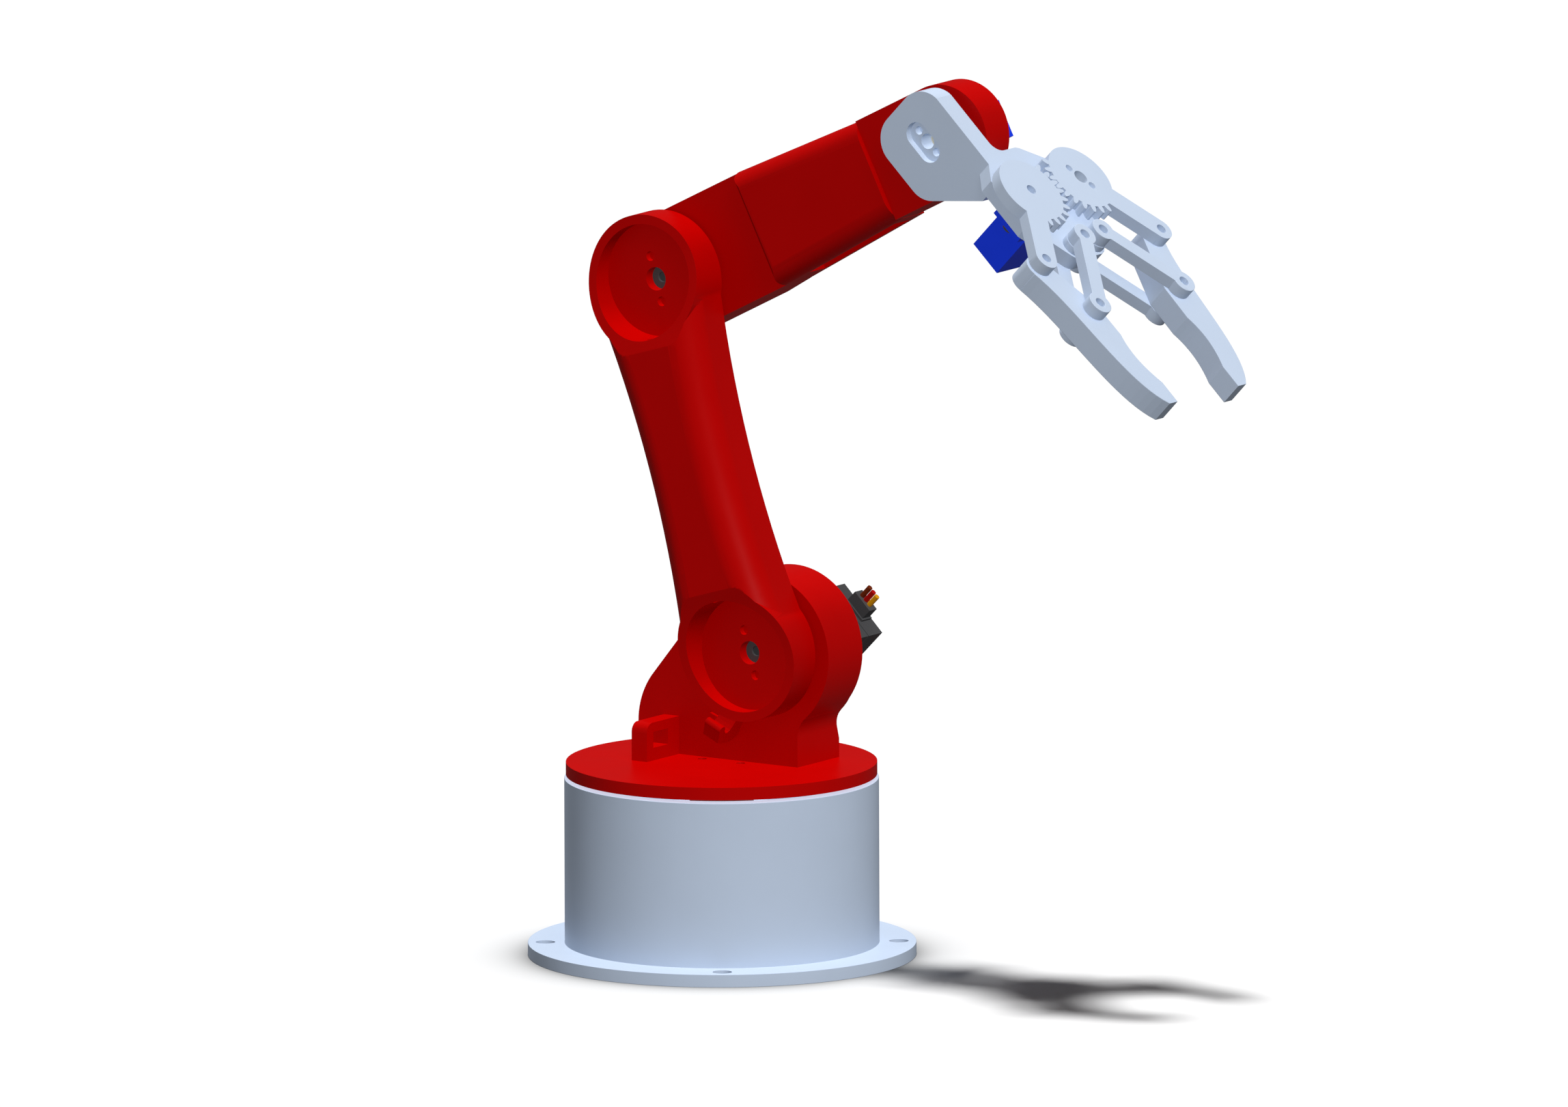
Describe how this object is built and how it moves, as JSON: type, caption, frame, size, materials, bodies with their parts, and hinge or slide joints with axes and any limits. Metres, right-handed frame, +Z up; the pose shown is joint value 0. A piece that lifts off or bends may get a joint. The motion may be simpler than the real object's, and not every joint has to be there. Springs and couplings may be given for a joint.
{
  "type": "desktop robot arm",
  "caption": "Printed desktop robot arm on a round flanged base, with turning waist, shoulder, elbow, rolling and pitching wrist, and a geared parallel gripper.",
  "frame": {"origin": "centre of the base flange's underside, on the waist axis", "axes": "+Z up along the waist axis; the arm's plane is XZ with the gripper toward +X; the shoulder, elbow and wrist pitch axes run along Y, and the arm's open faces look toward -Y"},
  "size_m": [0.2448, 0.121, 0.2835],
  "materials": {
    "red_print": "printed plastic, satin",
    "grey_print": "printed plastic, satin",
    "servo_black": "moulded case, satin",
    "servo_blue": "moulded case, slightly clear",
    "nylon": "moulded nylon",
    "screw_steel": "plated",
    "lead_brown": "wire insulation",
    "lead_red": "wire insulation",
    "lead_yellow": "wire insulation"
  },
  "bodies": {
    "base": {"base_housing": "grey_print", "waist_servo": "servo_black", "waist_servo_screws": "screw_steel"},
    "turret": {"waist_turret": "red_print", "waist_shaft": "servo_black", "waist_horn": "servo_black", "waist_horn_screws": "screw_steel", "shoulder_servo": "servo_black", "shoulder_servo_screws": "screw_steel", "shoulder_lead_block": "servo_black", "shoulder_lead_brown": "lead_brown", "shoulder_lead_red": "lead_red", "shoulder_lead_yellow": "lead_yellow"},
    "upper_arm_body": {"upper_arm": "red_print", "shoulder_shaft": "servo_black", "shoulder_horn": "servo_black", "shoulder_horn_screws": "screw_steel", "elbow_shaft": "servo_black", "elbow_horn": "servo_black", "elbow_horn_screws": "screw_steel"},
    "forearm": {"forearm_body": "red_print", "forearm_cover": "red_print", "cover_screws": "screw_steel", "elbow_servo": "servo_black", "elbow_servo_screws": "screw_steel", "roll_servo": "servo_blue"},
    "wrist": {"wrist_block": "red_print", "roll_shaft": "nylon", "roll_horn": "nylon", "pitch_servo": "servo_blue", "pitch_servo_screws": "screw_steel"},
    "gripper": {"gripper_base": "grey_print", "pitch_shaft": "nylon", "pitch_horn": "nylon", "pitch_horn_screws": "screw_steel", "grip_servo": "servo_blue", "grip_servo_screws": "screw_steel", "idler_pin": "grey_print", "idler_spacer": "grey_print", "link_pins": "grey_print", "link_spacers": "grey_print"},
    "drive_gear_body": {"drive_gear": "grey_print", "grip_shaft": "nylon", "grip_horn": "nylon", "grip_horn_screws": "screw_steel", "drive_finger_pin": "grey_print"},
    "idler_gear_body": {"idler_gear": "grey_print", "idler_finger_pin": "grey_print"},
    "right_links": {"right_upper_link": "grey_print", "right_lower_link": "grey_print", "right_link_pin": "grey_print"},
    "left_links": {"left_upper_link": "grey_print", "left_lower_link": "grey_print", "left_link_pin": "grey_print"},
    "right_finger_body": {"right_finger": "grey_print"},
    "left_finger_body": {"left_finger": "grey_print"}
  },
  "joints": [
    {"name": "waist", "type": "hinge", "parent": "base", "child": "turret", "pos_m": [0, 0, 0.057], "axis": [0, 0, 1], "range_deg": [-90, 90]},
    {"name": "shoulder", "type": "hinge", "parent": "turret", "child": "upper_arm_body", "pos_m": [0.0132, 0, 0.097], "axis": [0, 1, 0], "range_deg": [-40, 50]},
    {"name": "elbow", "type": "hinge", "parent": "upper_arm_body", "child": "forearm", "pos_m": [-0.02168, 0, 0.21182], "axis": [0, -1, 0], "range_deg": [-50, 80]},
    {"name": "wrist_roll", "type": "hinge", "parent": "forearm", "child": "wrist", "pos_m": [0.05851, 0.0034, 0.25268], "axis": [0.891, 0, 0.454], "range_deg": [-90, 90]},
    {"name": "wrist_pitch", "type": "hinge", "parent": "wrist", "child": "gripper", "pos_m": [0.08631, 0, 0.26684], "axis": [0, -1, 0], "range_deg": [-40, 100]},
    {"name": "grip", "type": "hinge", "parent": "gripper", "child": "drive_gear_body", "pos_m": [0.12713, 0.01355, 0.25596], "axis": [0.6921, 0, 0.7218], "range_deg": [-33, 20]},
    {"name": "grip_idler", "type": "hinge", "parent": "gripper", "child": "idler_gear_body", "pos_m": [0.12713, -0.01355, 0.25596], "axis": [0.6921, 0, 0.7218], "range_deg": [-20, 33]},
    {"name": "right_link", "type": "hinge", "parent": "gripper", "child": "right_links", "pos_m": [0.14157, 0.00505, 0.24211], "axis": [0.6921, 0, 0.7218], "range_deg": [-33, 20]},
    {"name": "left_link", "type": "hinge", "parent": "gripper", "child": "left_links", "pos_m": [0.14157, -0.00505, 0.24211], "axis": [0.6921, 0, 0.7218], "range_deg": [-20, 33]},
    {"name": "right_finger_pivot", "type": "hinge", "parent": "drive_gear_body", "child": "right_finger_body", "pos_m": [0.14518, 0.03152, 0.23864], "axis": [0.6921, 0, 0.7218], "range_deg": [-20, 33]},
    {"name": "left_finger_pivot", "type": "hinge", "parent": "idler_gear_body", "child": "left_finger_body", "pos_m": [0.14518, -0.03152, 0.23864], "axis": [0.6921, 0, 0.7218], "range_deg": [-33, 20]}
  ],
  "couplings": [
    {"joint": "grip_idler", "follows": "grip", "ratio": -1},
    {"joint": "right_link", "follows": "grip", "ratio": 1},
    {"joint": "left_link", "follows": "grip", "ratio": -1},
    {"joint": "right_finger_pivot", "follows": "grip", "ratio": -1},
    {"joint": "left_finger_pivot", "follows": "grip", "ratio": 1}
  ]
}
